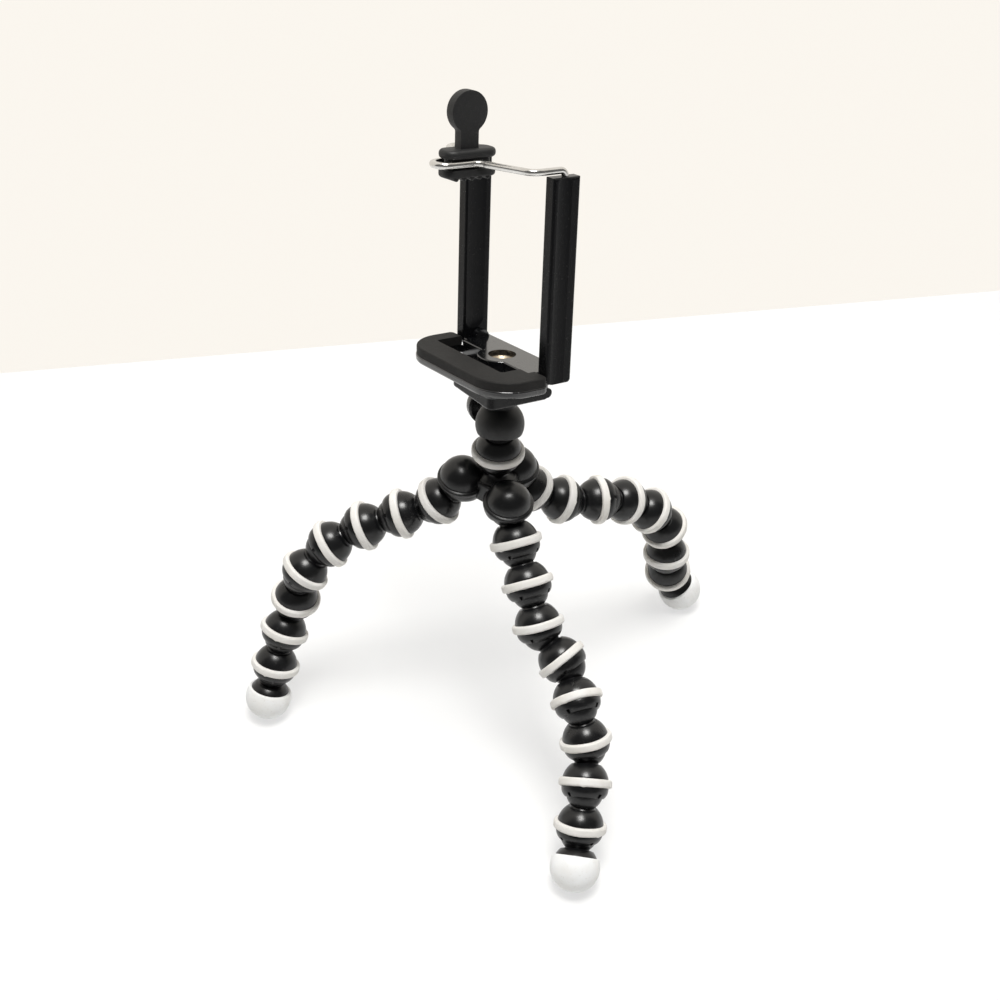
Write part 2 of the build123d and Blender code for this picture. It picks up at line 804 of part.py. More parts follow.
head_plane = axis_plane(head_ball, head_down, lean_heading)
nodes["head_link"] = [head_plane * link, head_plane * ring]
post = make_post()
ferrule = make_ferrule()
spring = make_spring()
nodes["ball_housing"] = [housing_plane * make_housing()]
nodes["lock_screw"] = [housing_plane * make_lock_screw()]
nodes["lock_knob"] = [housing_plane * make_knob()]
nodes["tripod_stud"] = [housing_plane * make_stud()]
nodes["seat_washer"] = [housing_plane * make_washer()]
nodes["clip_tray"] = [clip_plane * make_tray()]
nodes["tray_bottom_cover"] = [clip_plane * make_cover()]
nodes["tray_pad"] = [clip_plane * make_pad()]
nodes["thread_insert"] = [clip_plane * make_insert()]
nodes["hinge_pins"] = [clip_plane * pin for pin in make_pins()]
nodes["cover_screws"] = [clip_plane * screw for screw in make_cover_screws()]
nodes["wire_bail"] = [clip_plane * make_bail()]
nodes["bail_grip"] = [clip_plane * make_grip()]
for side, turn in {"right": lambda part: part, "left": mirrored}.items():
    nodes[f"{side}_post"] = [clip_plane * turn(post)]
    nodes[f"{side}_ferrule"] = [clip_plane * turn(ferrule)]
    nodes[f"{side}_spring"] = [clip_plane * turn(spring)]

# The origin is under the middle of the whole model, on the floor
whole = Compound([solid for solids in nodes.values() for part in solids for solid in part.solids()])
bounds = whole.bounding_box()
row_shift = Vector(-bounds.center().X, -bounds.center().Y, -bounds.min.Z)

os.makedirs("parts", exist_ok=True)
for name, solids in nodes.items():
    moved = [Pos(*row_shift) * solid for part in solids for solid in part.solids()]
    export_step(Compound(moved) if len(moved) > 1 else moved[0], f"parts/{name}.step")
print(len(nodes), "nodes, size", bounds.size)
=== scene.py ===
import json
import math
import bmesh
import bpy
from mathutils import Matrix, Vector


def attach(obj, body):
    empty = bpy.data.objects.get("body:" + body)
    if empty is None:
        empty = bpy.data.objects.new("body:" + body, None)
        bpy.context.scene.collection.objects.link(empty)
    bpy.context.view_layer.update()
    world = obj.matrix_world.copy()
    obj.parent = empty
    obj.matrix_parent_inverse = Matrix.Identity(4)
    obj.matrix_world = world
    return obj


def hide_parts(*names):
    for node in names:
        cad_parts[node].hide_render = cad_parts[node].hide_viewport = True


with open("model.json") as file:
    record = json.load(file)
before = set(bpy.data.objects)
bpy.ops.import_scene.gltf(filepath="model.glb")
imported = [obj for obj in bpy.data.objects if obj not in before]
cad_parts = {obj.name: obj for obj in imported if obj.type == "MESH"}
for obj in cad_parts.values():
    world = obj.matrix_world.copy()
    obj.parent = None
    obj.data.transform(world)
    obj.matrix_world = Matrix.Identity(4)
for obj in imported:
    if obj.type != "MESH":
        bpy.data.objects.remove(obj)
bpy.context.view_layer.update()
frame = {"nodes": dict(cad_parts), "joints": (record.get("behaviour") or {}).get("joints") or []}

scene = bpy.context.scene
mm = 0.001
joints = {joint["name"]: joint for joint in frame["joints"]}


class Shade:
    # a socket in a material's tree, with the sums that the finishes use
    def __init__(self, tree, socket=None):
        self.tree = tree
        self.socket = socket

    def node(self, kind, settings=None, inputs=None, output=0):
        made = self.tree.nodes.new(kind)
        for key, value in (settings or {}).items():
            setattr(made, key, value)
        for key, value in (inputs or {}).items():
            if isinstance(value, Shade):
                self.tree.links.new(value.socket, made.inputs[key])
            else:
                made.inputs[key].default_value = value
        return Shade(self.tree, made.outputs[output])

    def math(self, operation, first, second):
        return self.node("ShaderNodeMath", {"operation": operation}, {0: first, 1: second})

    def __add__(self, other):
        return self.math("ADD", self, other)

    def __radd__(self, other):
        return self.math("ADD", other, self)

    def __sub__(self, other):
        return self.math("SUBTRACT", self, other)

    def __rsub__(self, other):
        return self.math("SUBTRACT", other, self)

    def __mul__(self, other):
        return self.math("MULTIPLY", self, other)

    def __rmul__(self, other):
        return self.math("MULTIPLY", other, self)

    def ramp(self, low, high):
        return self.node("ShaderNodeMapRange", {"clamp": True},
                         {"Value": self, "From Min": low, "From Max": high})

    def blend(self, first, second):
        # sockets 6 and 7 are the node's two colours, and 2 is their result
        return self.node("ShaderNodeMix", {"data_type": "RGBA"}, {0: self, 6: first, 7: second}, 2)


def rgb(red, green, blue):
    return (red, green, blue, 1)


def newFinish(name, settings):
    # an empty principled finish with its even values set on the shader itself
    material = bpy.data.materials.new(name)
    material.use_nodes = True
    tree = material.node_tree
    shader = tree.nodes["Principled BSDF"]
    for key, value in settings.items():
        shader.inputs[key].default_value = value
    return material, Shade(tree), shader


def feed(shade, shader, sockets):
    for key, value in sockets.items():
        shade.tree.links.new(value.socket, shader.inputs[key])


noiseRoughness = 0.55


def noise(shade, place, scale, detail):
    return shade.node("ShaderNodeTexNoise", {}, {"Vector": place, "Scale": scale, "Detail": detail,
                                                 "Roughness": noiseRoughness})


def objectPlace(shade, stretch=(1, 1, 1)):
    place = shade.node("ShaderNodeTexCoord", {}, {}, "Object")
    return shade.node("ShaderNodeMapping", {}, {"Vector": place, "Scale": stretch})


def bumped(shade, strength, depth, height):
    return shade.node("ShaderNodeBump", {}, {"Strength": strength, "Distance": depth, "Height": height})


# moulded plastic: each noise is its scale and detail, each edges pair cuts a patch out of it
mouldedBlack = {
    "base": rgb(0.0042, 0.0044, 0.005), "worn": rgb(0.009, 0.009, 0.0092), "dust": rgb(0.06, 0.058, 0.055),
    "roughness": 0.29, "ior": 1.5, "level": 0.45, "grain": 0.1, "grainDepth": 0.0001,
    "smudgeNoise": (60, 4), "smudge": 0.12, "smudgeHeight": 0.6, "fineNoise": (1500, 2),
    "patchNoise": (22, 3), "patchEdges": (0.4, 0.75), "patchShare": 0.35,
    "speckNoise": (900, 1), "speckEdges": (0.68, 0.78), "speckShare": 0.35, "speckRough": 0.2,
    "scratchStretch": (1, 9, 1), "scratchNoise": (260, 2), "scratchEdges": (0.64, 0.7),
    "scratchRough": 0.12, "scratchHeight": 0.5,
}
noiseMiddle = 0.5


def plasticFinish(name, look):
    material, shade, shader = newFinish(name, {"IOR": look["ior"], "Specular IOR Level": look["level"]})
    place = objectPlace(shade)
    smudge = noise(shade, place, *look["smudgeNoise"])
    fine = noise(shade, place, *look["fineNoise"])
    patch = noise(shade, place, *look["patchNoise"]).ramp(*look["patchEdges"])
    speck = noise(shade, place, *look["speckNoise"]).ramp(*look["speckEdges"])
    scratchPlace = objectPlace(shade, look["scratchStretch"])
    scratch = noise(shade, scratchPlace, *look["scratchNoise"]).ramp(*look["scratchEdges"])
    colour = (patch * look["patchShare"]).blend(look["base"], look["worn"])
    colour = (speck * patch * look["speckShare"]).blend(colour, look["dust"])
    rough = (look["roughness"] + (smudge - noiseMiddle) * look["smudge"] + scratch * look["scratchRough"]
             + speck * look["speckRough"])
    height = fine + smudge * look["smudgeHeight"] - scratch * look["scratchHeight"]
    bump = bumped(shade, look["grain"], look["grainDepth"], height)
    feed(shade, shader, {"Base Color": colour, "Roughness": rough, "Normal": bump})
    return material


paleRubber = {
    "base": rgb(0.77, 0.76, 0.745), "warm": rgb(0.72, 0.7, 0.665), "dirt": rgb(0.6, 0.57, 0.52),
    "roughness": 0.56, "ior": 1.45, "level": 0.5, "grain": 0.3, "grainDepth": 0.0002,
    "scale": 120, "broadDetail": 4, "broadEdges": (0.35, 0.7),
    "spotFactor": 9, "spotDetail": 3, "spotEdges": (0.6, 0.72), "spotShare": 0.35, "spotRough": 0.08,
    "fineNoise": (2600, 2), "fineRough": 0.14, "fineHeight": 0.5, "softNoise": (420, 3),
}


def rubberFinish(name, look):
    material, shade, shader = newFinish(name, {"IOR": look["ior"], "Specular IOR Level": look["level"]})
    place = objectPlace(shade)
    broad = noise(shade, place, look["scale"], look["broadDetail"]).ramp(*look["broadEdges"])
    spotScale = look["scale"] * look["spotFactor"]
    spots = noise(shade, place, spotScale, look["spotDetail"]).ramp(*look["spotEdges"])
    fine = noise(shade, place, *look["fineNoise"])
    colour = broad.blend(look["base"], look["warm"])
    colour = (spots * look["spotShare"]).blend(colour, look["dirt"])
    rough = look["roughness"] + (fine - noiseMiddle) * look["fineRough"] + spots * look["spotRough"]
    height = fine * look["fineHeight"] + noise(shade, place, *look["softNoise"])
    bump = bumped(shade, look["grain"], look["grainDepth"], height)
    feed(shade, shader, {"Base Color": colour, "Roughness": rough, "Normal": bump})
    return material


drawnMetal = {"drawnNoise": (900, 3), "drawnRough": 0.12, "grain": 0.15, "grainDepth": 0.00005,
              "tarnishNoise": (130, 4), "tarnishEdges": (0.45, 0.75), "tarnishShare": 0.7,
              "tarnishRough": 0.1}
wireStretch = (1, 1, 0.08)
latheStretch = (1, 1, 6)


def metalFinish(name, light, dull, roughness, stretch):
    look = drawnMetal
    material, shade, shader = newFinish(name, {"Metallic": 1.0})
    drawn = noise(shade, objectPlace(shade, stretch), *look["drawnNoise"])
    tarnish = noise(shade, objectPlace(shade), *look["tarnishNoise"]).ramp(*look["tarnishEdges"])
    colour = (tarnish * look["tarnishShare"]).blend(light, dull)
    rough = roughness + (drawn - noiseMiddle) * look["drawnRough"] + tarnish * look["tarnishRough"]
    bump = bumped(shade, look["grain"], look["grainDepth"], drawn)
    feed(shade, shader, {"Base Color": colour, "Roughness": rough, "Normal": bump})
    return material


plasticLooks = {  # what differs from the moulded black of the legs
    "shellBlack": {},
    "headBlack": {"roughness": 0.5, "base": rgb(0.008, 0.008, 0.0082)},
    "trayBlack": {"roughness": 0.16, "ior": 1.9, "grain": 0.04, "level": 0.43},
    "clipBlack": {"roughness": 0.24, "grain": 0.05, "level": 0.26},
    "postBlack": {"roughness": 0.22, "grain": 0.05, "level": 0.14},
    "knobBlack": {"roughness": 0.24},
}
rubberLooks = {  # what differs from the pale rubber of the rings
    "ringRubber": {},
    "capRubber": {"base": rgb(0.87, 0.885, 0.9), "warm": rgb(0.82, 0.82, 0.81), "roughness": 0.5,
                  "scale": 150},
    "padRubber": {"base": rgb(0.01, 0.0097, 0.0094), "warm": rgb(0.014, 0.0135, 0.013),
                  "dirt": rgb(0.034, 0.031, 0.028), "roughness": 0.66, "scale": 90, "grain": 0.4,
                  "level": 0.28},
    "gripRubber": {"base": rgb(0.0075, 0.0075, 0.008), "warm": rgb(0.011, 0.011, 0.011),
                   "dirt": rgb(0.025, 0.024, 0.023), "roughness": 0.55, "scale": 110, "grain": 0.4},
}
metalLooks = {  # clean colour, dull colour, roughness, and the way the tool ran
    "brightWire": (rgb(0.72, 0.71, 0.69), rgb(0.5, 0.48, 0.45), 0.18, wireStretch),
    "turnedSteel": (rgb(0.52, 0.51, 0.5), rgb(0.34, 0.33, 0.32), 0.36, latheStretch),
    "turnedBrass": (rgb(0.42, 0.35, 0.26), rgb(0.28, 0.23, 0.17), 0.42, latheStretch),
    "blackSteel": (rgb(0.035, 0.035, 0.037), rgb(0.02, 0.02, 0.02), 0.45, latheStretch),
}
finishes = {}
for name, changes in plasticLooks.items():
    finishes[name] = plasticFinish(name, {**mouldedBlack, **changes})
for name, changes in rubberLooks.items():
    finishes[name] = rubberFinish(name, {**paleRubber, **changes})
for name, values in metalLooks.items():
    finishes[name] = metalFinish(name, *values)
print("finishes made")


mergeGap = 0.001    # mm, as is all that the meshes are made from
axisGap = 0.001
levelGap = 1e-6
cutGap = 1e-5
turnBevelSteps = 2


def arcPoints(radius, centre, start, end, steps):
    # points of a turned profile on a sphere whose centre is on the axis, from one height to another
    first = math.asin(max(-1, min(1, (start - centre) / radius)))
    last = math.asin(max(-1, min(1, (end - centre) / radius)))
    angles = [first + (last - first) * n / steps for n in range(steps + 1)]
    return [(radius * math.cos(angle), centre + radius * math.sin(angle)) for angle in angles]


def circleArc(x, y, radius, first, last, steps):
    # points of an arc, its angles in degrees
    angles = [math.radians(first + (last - first) * n / steps) for n in range(steps + 1)]
    return [(x + radius * math.cos(angle), y + radius * math.sin(angle)) for angle in angles]


def capHeight(radius, ringRadius):
    # how far from a sphere's centre a ring of this radius lies on it
    return math.sqrt(radius ** 2 - ringRadius ** 2)


def rounded(shape, edges, width, segments):
    bmesh.ops.bevel(shape, geom=edges, offset=width, affect="EDGES", segments=segments, profile=0.5,
                    material=-1, clamp_overlap=True)


def levelEdges(shape):
    return [edge for edge in shape.edges if abs(edge.verts[0].co.z - edge.verts[1].co.z) < levelGap]


def everything(shape):
    return shape.verts[:] + shape.edges[:] + shape.faces[:]


def turnedMesh(points, steps, bevelWidth=0, bevelAngle=40):
    # a profile of (radius, height) spun round the axis, with its sharp edges rounded
    shape = bmesh.new()
    verts = [shape.verts.new((radius, 0, height)) for radius, height in points]
    edges = [shape.edges.new(pair) for pair in zip(verts, verts[1:])]
    if (Vector(points[0]) - Vector(points[-1])).length > levelGap and points[0][0] > axisGap:
        edges.append(shape.edges.new((verts[-1], verts[0])))
    bmesh.ops.spin(shape, geom=verts + edges, axis=(0, 0, 1), cent=(0, 0, 0), angle=math.tau, steps=steps,
                   use_merge=True)
    bmesh.ops.remove_doubles(shape, verts=shape.verts, dist=mergeGap)
    bmesh.ops.recalc_face_normals(shape, faces=shape.faces)
    if bevelWidth:
        limit = math.radians(bevelAngle)
        sharp = [edge for edge in shape.edges if edge.is_manifold and edge.calc_face_angle(0) > limit]
        rounded(shape, sharp, bevelWidth, turnBevelSteps)
    return shape


def platedMesh(outline, start, end, bevelWidth, segments):
    # a flat outline of (x, y) raised from one height to another, with rounded edges
    shape = bmesh.new()
    verts = [shape.verts.new((x, y, start)) for x, y in outline]
    for pair in zip(verts, verts[1:] + verts[:1]):
        shape.edges.new(pair)
    faces = bmesh.ops.contextual_create(shape, geom=shape.edges[:])["faces"]
    raised = bmesh.ops.extrude_face_region(shape, geom=faces)["geom"]
    raised = [item for item in raised if isinstance(item, bmesh.types.BMVert)]
    bmesh.ops.translate(shape, verts=raised, vec=(0, 0, end - start))
    bmesh.ops.recalc_face_normals(shape, faces=shape.faces)
    rounded(shape, levelEdges(shape), bevelWidth, segments)
    return shape


def joined(*shapes):
    # several closed shapes in one
    whole = bmesh.new()
    for shape in shapes:
        mesh = bpy.data.meshes.new("part")
        shape.to_mesh(mesh)
        shape.free()
        whole.from_mesh(mesh)
        bpy.data.meshes.remove(mesh)
    return whole


def finishedPiece(name, shape, place, finish, body, sharpAngle=38):
    # the shape goes to its place in the frame and rides on its body
    shape.transform(place @ Matrix.Scale(mm, 4))
    mesh = bpy.data.meshes.new(name)
    shape.to_mesh(mesh)
    shape.free()
    mesh.shade_smooth()
    mesh.set_sharp_from_angle(angle=math.radians(sharpAngle))
    piece = bpy.data.objects.new(name, mesh)
    scene.collection.objects.link(piece)
    mesh.materials.append(finishes[finish])
    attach(piece, body)
    return piece


uprightGap = 1e-4


def placeAlong(origin, down):
    # a place with -Z down the chain and X level
    down = down.normalized()
    upright = math.hypot(down.x, down.y) < uprightGap
    side = Vector((0, 1, 0)) if upright else Vector((-down.y, down.x, 0)).normalized()
    turn = Matrix((side, (-down).cross(side), -down)).transposed().to_4x4()
    return Matrix.Translation(origin) @ turn


def jointPoint(name):
    return Vector(joints[name]["pos_m"])


# leg links: heights from the ball's centre down, the socket's centre one pitch below it
linkShape = {
    "ball": 5.6, "ballFlat": 4.9, "ballSteps": 14, "neck": 3.5, "neckFlare": 0.5, "neckCurve": 0.4,
    "shoulder": -4.75, "pitch": 12.85, "dome": 7.0, "domeRise": 2.6, "domeSteps": 10, "ringHalf": 1.25,
    "seat": 6.4, "skirt": 7.0, "skirtMouth": 5.75, "skirtSteps": 7, "mouth": 1.75, "socket": 5.65,
    "socketSteps": 10,
    "slots": 4, "slotHalfAngle": 5.5, "slotTop": -0.55, "wallGap": 0.05, "steps": 72, "soft": 0.16,
}
skirtCurve = 2.6    # how late a skirt turns in towards its mouth


def ballProfile(look):
    neckTop = -capHeight(look["ball"], look["neck"])
    return [(0, look["ballFlat"])] + arcPoints(look["ball"], 0, look["ballFlat"], neckTop, look["ballSteps"])


def bowlPoints(radius, mouthRadius, top, bottom, steps):
    return [(radius - (radius - mouthRadius) * (n / steps) ** skirtCurve, top + (bottom - top) * n / steps)
            for n in range(steps + 1)]


def cutSlots(shape, look, centre):
    # notches in the skirt, open at the mouth, their walls bridged from the outside to the socket
    top = centre + look["slotTop"]
    middle = Vector((0, 0, centre))
    bmesh.ops.bisect_plane(shape, geom=everything(shape), dist=cutGap, plane_co=(0, 0, top),
                           plane_no=(0, 0, 1))
    for n in range(look["slots"]):
        heading = math.tau * (n + 0.5) / look["slots"] - math.pi    # half a step on, clear of the seam at 180
        window = set()
        for face in shape.faces:
            spot = face.calc_center_median()
            away = abs(math.atan2(spot.y, spot.x) - heading)
            if spot.z < top and away < math.radians(look["slotHalfAngle"]):
                window.add(face)
        rims = [edge for face in window for edge in face.edges
                if len(window.intersection(edge.link_faces)) == 1]
        bmesh.ops.delete(shape, geom=list(window), context="FACES")
        gaps = {edge: [(vert.co - middle).length - look["socket"] for vert in edge.verts] for edge in rims}
        outer = [edge for edge in rims if min(gaps[edge]) > look["wallGap"]]
        inner = [edge for edge in rims if max(gaps[edge]) < look["wallGap"]]
        bmesh.ops.bridge_loops(shape, edges=outer + inner)
    bmesh.ops.recalc_face_normals(shape, faces=shape.faces)
    return shape


def linkMesh(look):
    centre = -look["pitch"]
    ringCentre = centre + look["domeRise"]
    ringTop = ringCentre + look["ringHalf"]
    ringBottom = ringCentre - look["ringHalf"]
    mouth = centre - look["mouth"]
    points = ballProfile(look)
    points += [(look["neck"], look["shoulder"] + look["neckFlare"]),
               (look["neck"] + look["neckFlare"] * look["neckCurve"], look["shoulder"])]
    points += arcPoints(look["dome"], ringCentre, look["shoulder"], ringTop, look["domeSteps"])
    points += [(look["seat"], ringTop), (look["seat"], ringBottom)]
    points += bowlPoints(look["skirt"], look["skirtMouth"], ringBottom, mouth, look["skirtSteps"])
    points += arcPoints(look["socket"], centre, mouth, centre + look["socket"], look["socketSteps"])
    return cutSlots(turnedMesh(points, look["steps"], look["soft"]), look, centre)


# rings: moulded bands, a little uneven as rubber is, each with two nubs where it was moulded
ringShape = {
    "inner": 6.4, "outer": 7.97, "half": 1.25, "round": 0.7, "roundAngles": (0.3, 0.6, 0.9, 1.2, math.pi / 2),
    "steps": 72, "wave": 0.06, "waves": (3, 5), "secondWave": 0.6, "secondSeed": 2.3,
    "nub": 0.26, "nubWidth": 0.06, "nubSpread": 2.9, "nubTurns": (1.7, 3.1), "nubTop": 0.4, "nubStart": 0.1,
    "sharp": 60, "seedStep": 1.37, "headSeed": 0.4,
}


def ringMesh(look, seed):
    corner = look["outer"] - look["round"]
    points = [(look["inner"], -look["half"]), (corner, -look["half"])]
    for angle in look["roundAngles"]:
        points.append((corner + look["round"] * math.sin(angle),
                       -look["half"] + look["round"] * (1 - math.cos(angle))))
    points += [(radius, -height) for radius, height in reversed(points)]
    shape = turnedMesh(points, look["steps"])
    firstWaves, secondWaves = look["waves"]
    for vert in shape.verts:
        angle = math.atan2(vert.co.y, vert.co.x)
        first = math.sin(angle * firstWaves + seed)
        second = look["secondWave"] * math.sin(angle * secondWaves + seed * look["secondSeed"])
        nubPlaces = [math.sin(seed * turn) * look["nubSpread"] for turn in look["nubTurns"]]
        nub = sum(look["nub"] * math.exp(-((angle - spot) / look["nubWidth"]) ** 2) for spot in nubPlaces)
        vert.co.z += look["wave"] * (first + second) / (1 + look["secondWave"])
        if math.hypot(vert.co.x, vert.co.y) > look["inner"] + look["nubStart"]:
            vert.co.z += nub * (look["nubTop"] if vert.co.z > 0 else -1)
    return shape


# feet: a dome over a core, and the rubber cap round the core, cut flat where it stands
footShape = {
    "drop": 9.6, "dome": 6.9, "domeSteps": 8, "core": 6.3, "coreSteps": 14, "rim": 3.0, "flat": 7.25,
    "soft": 0.15, "cap": 7.45, "capSteps": 22, "capGap": 0.05, "lip": 0.25, "lipAngle": 50, "capSharp": 50,
}


def footMesh(look, link):
    centre = -look["drop"]
    rim = centre + look["rim"]
    points = ballProfile(link) + arcPoints(look["dome"], centre, link["shoulder"], rim, look["domeSteps"])
    points += arcPoints(look["core"], centre, rim, centre - look["core"], look["coreSteps"])
    return turnedMesh(points, link["steps"], look["soft"])


def capMesh(look, link, place):
    centre = -look["drop"]
    rim = centre + look["rim"]
    inside = look["core"] + look["capGap"]
    outer = arcPoints(look["cap"], centre, rim, centre - look["cap"], look["capSteps"])
    inner = arcPoints(inside, centre, centre - inside, rim, look["coreSteps"])
    shape = turnedMesh(outer + inner, link["steps"], look["lip"], look["lipAngle"])
    shape.transform(place @ Matrix.Scale(mm, 4))
    bmesh.ops.bisect_plane(shape, geom=everything(shape), dist=levelGap, plane_co=(0, 0, 0),
                           plane_no=(0, 0, 1), clear_inner=True)
    bmesh.ops.holes_fill(shape, edges=[edge for edge in shape.edges if edge.is_boundary])
    shape.transform((place @ Matrix.Scale(mm, 4)).inverted())
    return shape


footHeadings = {"right": -45, "left": -70, "rear": 62}
linksPerLeg = 8
ringSeed = 0.0
masterLink = linkMesh(linkShape)


def addLink(linkName, ringName, node, body, place, seed):
    link = finishedPiece(linkName, masterLink.copy(), place, "shellBlack", body)
    ringPlace = place @ Matrix.Translation(Vector((0, 0, linkShape["domeRise"] - linkShape["pitch"])) * mm)
    finishedPiece(ringName, ringMesh(ringShape, seed), ringPlace, "ringRubber", body,
                  ringShape["sharp"])
    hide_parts(node)


for leg, heading in footHeadings.items():
    stops = [jointPoint(f"{leg}_joint_{n + 1}") for n in range(linksPerLeg)]
    stops.append(jointPoint(f"{leg}_foot_joint"))
    for number, (start, end) in enumerate(zip(stops, stops[1:]), start=1):
        ringSeed += ringShape["seedStep"]
        node = f"{leg}_link_{number}"
        place = placeAlong(start, end - start)
        addLink(f"{leg}Link{number}", f"{leg}Ring{number}", node, node, place, ringSeed)
    fall = stops[-1].z - footShape["flat"] * mm
    reach = capHeight(footShape["drop"] * mm, fall)
    turn = math.radians(heading)
    place = placeAlong(stops[-1], Vector((reach * math.cos(turn), reach * math.sin(turn), -fall)))
    foot = finishedPiece(f"{leg}Foot", footMesh(footShape, linkShape), place, "shellBlack", f"{leg}_foot")
    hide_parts(f"{leg}_foot_link")
    capPiece = finishedPiece(f"{leg}FootCap", capMesh(footShape, linkShape, place), place, "capRubber",
                             f"{leg}_foot", footShape["capSharp"])
    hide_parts(f"{leg}_foot_cap")
headPlace = placeAlong(jointPoint("head_tilt"), jointPoint("head_pan") - jointPoint("head_tilt"))
addLink("headLink", "headRing", "head_link", "head_link", headPlace, ringShape["headSeed"])
masterLink.free()
print("legs made")


# hub: three lobes, the web between them and the ball under the head link
hubShape = {
    "dome": 7.0, "domeRise": 2.6, "domeSteps": 14, "groove": 6.72, "grooveTop": 0.6, "grooveFoot": 0.15,
    "lipRise": 0.75, "rim": 7.6, "rimHalf": 0.75, "rimSoft": 0.22, "rimFoot": 0.35, "underInset": 0.15,
    "underRise": 0.12, "underEnd": 0.2, "capSocketSteps": 10, "capLean": 10.0, "capHeading": -35.4,
    "bowl": 7.2, "mouthRadius": 6.2, "bowlSteps": 9, "bowlGap": 0.05, "bowlSocketSteps": 12, "bowlAngle": 50,
    "bowlInner": (1.3, 2.5), "bowlShoulder": (0.3, 1.2), "bowlSocketTop": 2.4, "tilt": 12.0,
    "webRadius": 13.4, "webTurn": -90, "webTop": 5.4, "webDrop": 1.4, "webSoft": 0.9, "webSoftSteps": 4,
    "column": 6.4, "columnSteps": 64, "columnFoot": 0.6, "flareTop": 1.7, "flareNeck": (0.5, 1.0),
    "flareFoot": (1.2, 0.35), "flareEnd": 0.3, "ballHeight": 11.8, "steps": 80, "soft": 0.1,
}


def lobeCapMesh(look, link):
    # dome, lip and rim, closed by the socket's wall
    top = look["domeRise"] + look["rimHalf"]
    bottom = look["domeRise"] - look["rimHalf"]
    points = arcPoints(look["dome"], look["domeRise"], look["domeRise"] + look["dome"], top + look["lipRise"],
                       look["domeSteps"])
    points += [(look["groove"], top + look["grooveTop"]), (look["groove"], top + look["grooveFoot"]),
               (look["rim"] - look["rimSoft"], top), (look["rim"], top - look["rimSoft"]),
               (look["rim"], bottom + look["rimFoot"]),
               (look["rim"] - look["underInset"], bottom + look["underRise"]),
               (look["bowl"] - look["underEnd"], bottom)]
    points += arcPoints(link["socket"], 0, bottom, link["socket"], look["capSocketSteps"])
    return turnedMesh(points, look["steps"], look["soft"])


def lobeBowlMesh(look, link):
    bottom = look["domeRise"] - look["rimHalf"]
    points = [(look["bowl"] - inset, bottom + rise)
              for inset, rise in (look["bowlInner"], look["bowlShoulder"])]
    points += bowlPoints(look["bowl"], look["mouthRadius"], bottom - look["bowlGap"], -link["mouth"],
                         look["bowlSteps"])
    points += arcPoints(link["socket"], 0, -link["mouth"], bottom + look["bowlSocketTop"],
                        look["bowlSocketSteps"])
    return turnedMesh(points, look["steps"], look["soft"], look["bowlAngle"])


def webMesh(look):
    depth = look["webTop"] + look["webDrop"]
    shape = bmesh.new()
    lift = Matrix.Translation((0, 0, (look["webTop"] - look["webDrop"]) / 2))
    turned = Matrix.Rotation(math.radians(look["webTurn"]), 4, "Z")
    bmesh.ops.create_cone(shape, cap_ends=True, segments=3, radius1=look["webRadius"],
                          radius2=look["webRadius"], depth=depth, matrix=lift @ turned)
    rounded(shape, levelEdges(shape), look["webSoft"], look["webSoftSteps"])
    return shape


def columnMesh(look, link):
    ball = look["ballHeight"]
    web = look["webTop"]
    points = [(0, ball + link["ballFlat"])]
    points += arcPoints(link["ball"], ball, ball + link["ballFlat"],
                        ball - capHeight(link["ball"], link["neck"]), link["ballSteps"])
    points += [(link["neck"], web + look["flareTop"]),
               (link["neck"] + look["flareNeck"][0], web + look["flareNeck"][1]),
               (look["column"] - look["flareFoot"][0], web + look["flareFoot"][1]),
               (look["column"], web - look["flareEnd"]), (look["column"], look["columnFoot"]),
               (0, look["columnFoot"])]
    return turnedMesh(points, look["columnSteps"])


sockets = [jointPoint(f"{leg}_joint_1") for leg in footHeadings]
hubCentre = sum(sockets, Vector()) / 3
hubUp = (sockets[2] - sockets[0]).cross(sockets[1] - sockets[0]).normalized()
hubUp = hubUp if hubUp.z > 0 else -hubUp
lean = math.radians(hubShape["capLean"])
leanWay = math.radians(hubShape["capHeading"])
tilt = math.radians(hubShape["tilt"])
capUp = hubUp * math.cos(lean) + Vector((math.cos(leanWay), math.sin(leanWay), 0)) * math.sin(lean)
lobes = []
for socket in sockets:
    out = (socket - hubCentre).normalized()
    spot = Matrix.Translation((socket - hubCentre) / mm)
    for shape, up in ((lobeBowlMesh(hubShape, linkShape), hubUp * math.cos(tilt) - out * math.sin(tilt)),
                      (lobeCapMesh(hubShape, linkShape), capUp)):
        shape.transform(spot @ up.to_track_quat("Z", "Y").to_matrix().to_4x4())
        lobes.append(shape)
out = (sockets[0] - hubCentre).normalized()
hubTurn = Matrix((out, hubUp.cross(out), hubUp)).transposed().to_4x4()
web = webMesh(hubShape)
web.transform(hubTurn)
column = columnMesh(hubShape, linkShape)
column.transform(hubTurn)
hub = finishedPiece("hub", joined(web, column, *lobes), Matrix.Translation(hubCentre), "shellBlack", "hub")
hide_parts("hub_body")
print("hub made")


# the clip's own directions: x along the phone, y to the rear, z up the posts
clipRise = 21.3    # the tray plateau's top above the head's centre
clipUp = Vector(joints["clip_turn"]["axis"]).normalized()
clipAcross = -Vector(joints["clip_fold"]["axis"]).normalized()
clipTurn = Matrix((clipAcross, clipUp.cross(clipAcross), clipUp)).transposed().to_4x4()
housingPlace = Matrix.Translation(jointPoint("clip_turn")) @ clipTurn
clipPlace = housingPlace @ Matrix.Translation(Vector((0, 0, clipRise * mm)))


